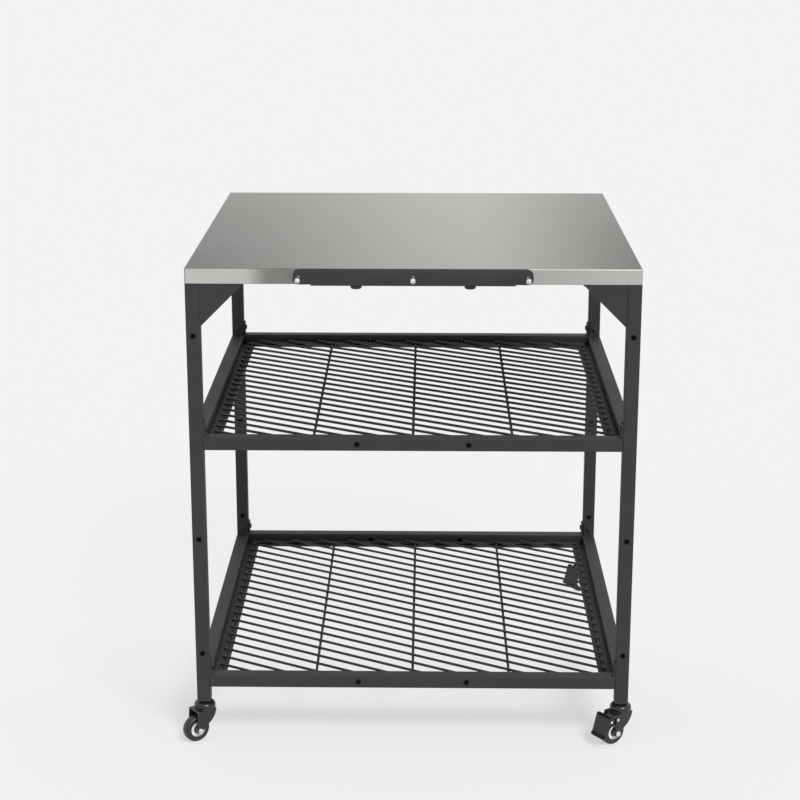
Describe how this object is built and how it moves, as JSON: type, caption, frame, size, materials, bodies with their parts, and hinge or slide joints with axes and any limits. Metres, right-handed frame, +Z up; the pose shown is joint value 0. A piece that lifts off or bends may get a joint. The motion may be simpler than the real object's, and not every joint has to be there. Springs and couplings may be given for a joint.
{
  "type": "outdoor pizza oven table",
  "caption": "Square steel cart with a folded stainless worktop over slanted-wire shelves, a front tool bar with hooks, and swivel casters, some with brake pedals.",
  "frame": {"origin": "on the floor under the middle of the four legs", "axes": "+Z up, -Y towards the front with the tool bar, +X to the right seen from the front"},
  "size_m": [0.8371, 0.8482, 0.9],
  "materials": {
    "brushed_stainless": "brushed stainless sheet, satin",
    "powder_coat": "fine matt charcoal powder coat",
    "wire_coat": "charcoal powder coat on welded wire, a little smoother than on the tubes",
    "black_bolt": "black oxide on steel bolts, satin",
    "zinc_steel": "bright zinc plating",
    "hook_steel": "black coated rod with a bright ball tip",
    "grip_plastic": "black moulded plastic, semi gloss",
    "plug_plastic": "black moulded plastic, matt",
    "caster_black": "black electro-coat on pressed steel, satin",
    "tread_rubber": "soft black rubber, matt",
    "wheel_core": "light grey moulded plastic, satin",
    "bearing_cover": "black moulded plastic, satin"
  },
  "bodies": {
    "frame": {"accessory_bar": "powder_coat", "bar_thumb_screws": "grip_plastic", "caster_back_left_stem": "caster_black", "caster_back_right_stem": "caster_black", "caster_front_left_stem": "caster_black", "caster_front_right_stem": "caster_black", "corner_gusset_back_left": "powder_coat", "corner_gusset_back_right": "powder_coat", "corner_gusset_front_left": "powder_coat", "corner_gusset_front_right": "powder_coat", "gusset_bolts": "black_bolt", "leg_back_left": "powder_coat", "leg_back_right": "powder_coat", "leg_front_left": "powder_coat", "leg_front_right": "powder_coat", "leg_plugs": "plug_plastic", "lower_shelf_grille": "wire_coat", "lower_shelf_ledges": "powder_coat", "lower_shelf_rail_back": "powder_coat", "lower_shelf_rail_front": "powder_coat", "lower_shelf_rail_left": "powder_coat", "lower_shelf_rail_right": "powder_coat", "shelf_bolts": "black_bolt", "table_top": "brushed_stainless", "threaded_inserts": "zinc_steel", "tool_hooks": "hook_steel", "top_stiffeners": "brushed_stainless", "upper_shelf_grille": "wire_coat", "upper_shelf_ledges": "powder_coat", "upper_shelf_rail_back": "powder_coat", "upper_shelf_rail_front": "powder_coat", "upper_shelf_rail_left": "powder_coat", "upper_shelf_rail_right": "powder_coat"},
    "fork_back_left": {"caster_back_left_axle": "zinc_steel", "caster_back_left_fork": "caster_black"},
    "fork_back_right": {"caster_back_right_axle": "zinc_steel", "caster_back_right_brake_pivot": "zinc_steel", "caster_back_right_fork": "caster_black"},
    "fork_front_left": {"caster_front_left_axle": "zinc_steel", "caster_front_left_fork": "caster_black"},
    "fork_front_right": {"caster_front_right_axle": "zinc_steel", "caster_front_right_brake_pivot": "zinc_steel", "caster_front_right_fork": "caster_black"},
    "pedal_back_right": {"caster_back_right_brake_pedal": "caster_black", "caster_back_right_shoe_rivet": "zinc_steel"},
    "pedal_front_right": {"caster_front_right_brake_pedal": "caster_black", "caster_front_right_shoe_rivet": "zinc_steel"},
    "wheel_back_left": {"caster_back_left_bearing_covers": "bearing_cover", "caster_back_left_hub": "wheel_core", "caster_back_left_tyre": "tread_rubber"},
    "wheel_back_right": {"caster_back_right_bearing_covers": "bearing_cover", "caster_back_right_hub": "wheel_core", "caster_back_right_tyre": "tread_rubber"},
    "wheel_front_left": {"caster_front_left_bearing_covers": "bearing_cover", "caster_front_left_hub": "wheel_core", "caster_front_left_tyre": "tread_rubber"},
    "wheel_front_right": {"caster_front_right_bearing_covers": "bearing_cover", "caster_front_right_hub": "wheel_core", "caster_front_right_tyre": "tread_rubber"}
  },
  "joints": [
    {"name": "swivel_front_left", "type": "hinge", "parent": "frame", "child": "fork_front_left", "pos_m": [-0.3875, -0.3875, 0.063], "axis": [0, 0, 1], "continuous": true},
    {"name": "roll_front_left", "type": "hinge", "parent": "fork_front_left", "child": "wheel_front_left", "pos_m": [-0.40368, -0.39926, 0.025], "axis": [0.5878, -0.809, 0], "continuous": true},
    {"name": "swivel_front_right", "type": "hinge", "parent": "frame", "child": "fork_front_right", "pos_m": [0.3875, -0.3875, 0.063], "axis": [0, 0, 1], "continuous": true},
    {"name": "roll_front_right", "type": "hinge", "parent": "fork_front_right", "child": "wheel_front_right", "pos_m": [0.37132, -0.39926, 0.025], "axis": [0.5878, -0.809, 0], "continuous": true},
    {"name": "brake_front_right", "type": "hinge", "parent": "fork_front_right", "child": "pedal_front_right", "pos_m": [0.37132, -0.39926, 0.0526], "axis": [-0.5878, 0.809, 0], "range_deg": [0, 20]},
    {"name": "swivel_back_left", "type": "hinge", "parent": "frame", "child": "fork_back_left", "pos_m": [-0.3875, 0.3875, 0.063], "axis": [0, 0, 1], "continuous": true},
    {"name": "roll_back_left", "type": "hinge", "parent": "fork_back_left", "child": "wheel_back_left", "pos_m": [-0.40368, 0.37574, 0.025], "axis": [0.5878, -0.809, 0], "continuous": true},
    {"name": "swivel_back_right", "type": "hinge", "parent": "frame", "child": "fork_back_right", "pos_m": [0.3875, 0.3875, 0.063], "axis": [0, 0, 1], "continuous": true},
    {"name": "roll_back_right", "type": "hinge", "parent": "fork_back_right", "child": "wheel_back_right", "pos_m": [0.37132, 0.37574, 0.025], "axis": [0.5878, -0.809, 0], "continuous": true},
    {"name": "brake_back_right", "type": "hinge", "parent": "fork_back_right", "child": "pedal_back_right", "pos_m": [0.37132, 0.37574, 0.0526], "axis": [-0.5878, 0.809, 0], "range_deg": [0, 20]}
  ]
}
